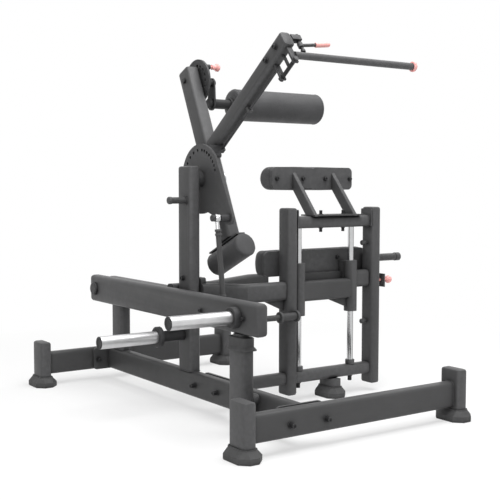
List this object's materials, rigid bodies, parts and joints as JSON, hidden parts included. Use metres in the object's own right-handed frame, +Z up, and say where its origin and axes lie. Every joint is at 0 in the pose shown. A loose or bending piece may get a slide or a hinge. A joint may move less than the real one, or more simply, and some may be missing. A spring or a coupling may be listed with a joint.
{
  "type": "glute kickback machine",
  "caption": "Plate-loaded glute kickback machine: floor frame, weight lever with plate horns, selector plate and kick arm, adjustable upper roller and hip pad, chest pad and handle bar.",
  "frame": {"origin": "under the middle of the footprint, on the floor", "axes": "+X from the weight side to the standing side, +Y from the handle end to the rear rail, +Z up"},
  "size_m": [1.442, 1.633, 1.4634],
  "materials": {
    "frame_paint": "satin dark grey powder coat",
    "chrome": "polished chrome plate",
    "steel": "bright turned steel",
    "black_hardware": "black zinc plate",
    "rubber": "moulded black rubber",
    "pad_vinyl": "dark grey grained vinyl upholstery",
    "pad_board": "dark grey pad board",
    "pink_plastic": "satin salmon-pink moulded plastic"
  },
  "bodies": {
    "frame": {"front_rail": "frame_paint", "rear_rail": "frame_paint", "foot_front_left": "rubber", "foot_front_right": "rubber", "foot_rear_left": "rubber", "foot_rear_right": "rubber", "foot_middle": "rubber", "central_beam": "frame_paint", "column": "frame_paint", "rear_stand": "frame_paint", "middle_frame_tube": "frame_paint", "rear_brace_tube": "frame_paint", "base_cross_tube_left": "frame_paint", "base_cross_tube_right": "frame_paint", "upright_left": "frame_paint", "upright_right": "frame_paint", "top_cross_tube": "frame_paint", "guide_rod_left": "chrome", "guide_rod_right": "chrome", "stopper_upper": "rubber", "stopper_lower": "rubber", "grab_bar": "frame_paint", "stop_post": "frame_paint", "stop_cap": "rubber", "storage_horn": "frame_paint", "storage_sleeve": "chrome", "lever_pivot_pin": "black_hardware", "main_shaft": "steel", "chest_pad_frame": "frame_paint", "chest_pad_board": "pad_board", "chest_pad_cushion": "pad_vinyl"},
    "weight_lever": {"weight_lever": "frame_paint", "weight_horn": "frame_paint", "weight_sleeve": "chrome"},
    "crank": {"crank_plate": "frame_paint", "crank_pin": "black_hardware"},
    "rod": {"rod_end": "chrome", "connecting_rod": "frame_paint"},
    "arm": {"kick_arm": "frame_paint", "kick_pad": "pad_vinyl", "handle_arm": "frame_paint", "selector_housing": "black_hardware", "release_bracket": "black_hardware", "handle_bracket": "black_hardware", "handle_bar": "frame_paint", "handle_bar_cap": "pink_plastic", "roller_selector_plate": "frame_paint", "roller_pivot_pin": "black_hardware"},
    "selector_pin": {"selector_pin": "steel"},
    "release_rod": {"release_rod": "black_hardware"},
    "release_lever": {"release_lever": "frame_paint", "release_grip": "pink_plastic"},
    "roller_crank": {"roller_crank": "frame_paint"},
    "roller_pin": {"roller_pin": "pink_plastic"},
    "upper_roller": {"upper_roller": "pad_vinyl"},
    "hip_carriage": {"carriage_frame": "frame_paint", "carriage_handle": "frame_paint", "hip_pad_board": "pad_board", "hip_pad_cushion": "pad_vinyl"},
    "height_pin": {"height_pin": "pink_plastic"}
  },
  "joints": [
    {"name": "crank_pivot", "type": "hinge", "parent": "frame", "child": "crank", "pos_m": [-0.264, 0.0195, 0.929], "axis": [-1, 0, 0], "range_deg": [0, 40]},
    {"name": "weight_lever_pivot", "type": "hinge", "parent": "frame", "child": "weight_lever", "pos_m": [-0.399, 0.6825, 0.431], "axis": [-1, 0, 0], "range_deg": [0, 11]},
    {"name": "rod_pivot", "type": "hinge", "parent": "crank", "child": "rod", "pos_m": [-0.322, -0.1905, 0.777], "axis": [-1, 0, 0], "range_deg": [-54, 0]},
    {"name": "arm_position", "type": "hinge", "parent": "crank", "child": "arm", "pos_m": [-0.197, 0.0195, 0.929], "axis": [-1, 0, 0], "range_deg": [-28.2, 44.2]},
    {"name": "release_lever_pivot", "type": "hinge", "parent": "arm", "child": "release_lever", "pos_m": [-0.139, -0.47454, 1.41799], "axis": [0, -0.6032, -0.7976], "range_deg": [0, 16]},
    {"name": "release_rod_slide", "type": "slide", "parent": "arm", "child": "release_rod", "axis": [0, 0.7976, -0.6032], "range_m": [0, 0.0101]},
    {"name": "selector_pin_slide", "type": "slide", "parent": "arm", "child": "selector_pin", "axis": [-1, 0, 0], "range_m": [0, 0.0141]},
    {"name": "roller_crank_pivot", "type": "hinge", "parent": "arm", "child": "roller_crank", "pos_m": [-0.134, 0.20849, 1.34179], "axis": [1, 0, 0], "range_deg": [0, 129]},
    {"name": "roller_pin_slide", "type": "slide", "parent": "roller_crank", "child": "roller_pin", "axis": [-1, 0, 0], "range_m": [0, 0.008]},
    {"name": "upper_roller_spin", "type": "hinge", "parent": "roller_crank", "child": "upper_roller", "pos_m": [0.271, 0.21156, 1.25385], "axis": [1, 0, 0], "continuous": true},
    {"name": "hip_carriage_slide", "type": "slide", "parent": "frame", "child": "hip_carriage", "axis": [0, 0, 1], "range_m": [-0.14, 0.105]},
    {"name": "height_pin_slide", "type": "slide", "parent": "hip_carriage", "child": "height_pin", "axis": [-1, 0, 0], "range_m": [0, 0.014]}
  ],
  "couplings": [
    {"joint": "weight_lever_pivot", "follows": "crank_pivot", "ratio": 0.255},
    {"joint": "rod_pivot", "follows": "crank_pivot", "ratio": -1.2994},
    {"joint": "selector_pin_slide", "follows": "release_lever_pivot", "m_per_rad": 0.050134},
    {"joint": "release_rod_slide", "follows": "release_lever_pivot", "m_per_rad": 0.03581}
  ]
}
